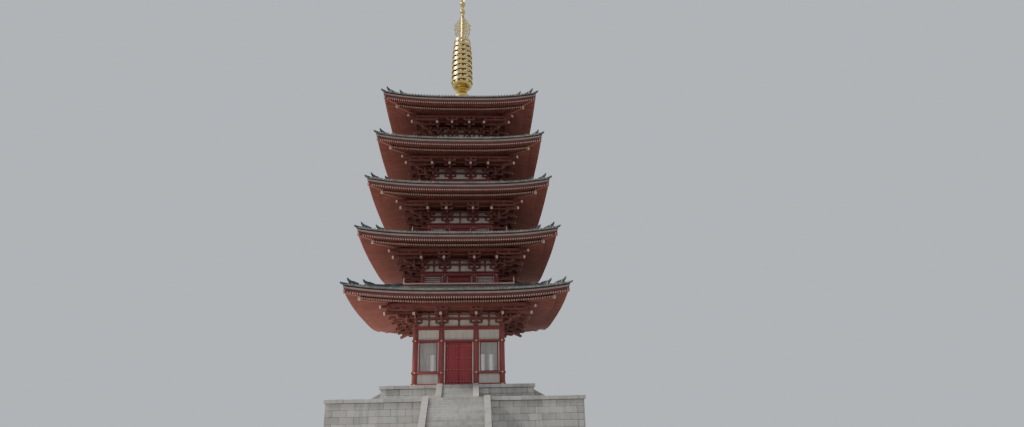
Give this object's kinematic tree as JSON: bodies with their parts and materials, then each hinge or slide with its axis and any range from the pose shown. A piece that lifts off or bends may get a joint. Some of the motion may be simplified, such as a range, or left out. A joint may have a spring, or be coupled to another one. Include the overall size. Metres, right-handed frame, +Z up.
{
  "type": "five-storey pagoda, 1:2 scale model",
  "caption": "Square multi-storey pagoda with tiled upswept eaves, bracketed red timber frame, balconies and a gilded ringed finial on a stone podium; scale model 1:2.",
  "frame": {"origin": "on the tower's vertical axis, at the underside of the podium", "axes": "+Z up along the tower's axis, -Y towards the front stair"},
  "size_m": [10.42, 13.8703, 26.65],
  "materials": {
    "stone": "dressed granite blocks, lightly weathered",
    "vermilion": "vermilion painted timber, satin, slightly faded",
    "plaster": "white lime plaster, matt",
    "eave_wood": "painted rafters and fascia, satin",
    "tile": "dark grey-green roof tiles, semi-matt",
    "gilt": "gilded metal, polished"
  },
  "bodies": {
    "root": {"podium": "stone", "platform": "stone", "front_steps": "stone", "right_steps": "stone", "back_steps": "stone", "left_steps": "stone", "podium_stair": "stone", "dew_basin": "gilt", "inverted_bowl": "gilt", "lotus": "gilt", "nine_rings": "gilt", "water_flame": "gilt", "mast_and_jewels": "gilt", "doors_1": "vermilion", "walls_1": "plaster", "frame_1": "vermilion", "brackets_1": "vermilion", "eaves_1": "eave_wood", "roof_1": "tile", "doors_2": "vermilion", "walls_2": "plaster", "frame_2": "vermilion", "brackets_2": "vermilion", "eaves_2": "eave_wood", "roof_2": "tile", "floor_2": "vermilion", "railing_2": "vermilion", "doors_3": "vermilion", "walls_3": "plaster", "frame_3": "vermilion", "brackets_3": "vermilion", "eaves_3": "eave_wood", "roof_3": "tile", "floor_3": "vermilion", "railing_3": "vermilion", "doors_4": "vermilion", "walls_4": "plaster", "frame_4": "vermilion", "brackets_4": "vermilion", "eaves_4": "eave_wood", "roof_4": "tile", "floor_4": "vermilion", "railing_4": "vermilion", "doors_5": "vermilion", "walls_5": "plaster", "frame_5": "vermilion", "brackets_5": "vermilion", "eaves_5": "eave_wood", "roof_5": "tile", "floor_5": "vermilion", "railing_5": "vermilion"}
  },
  "joints": []
}
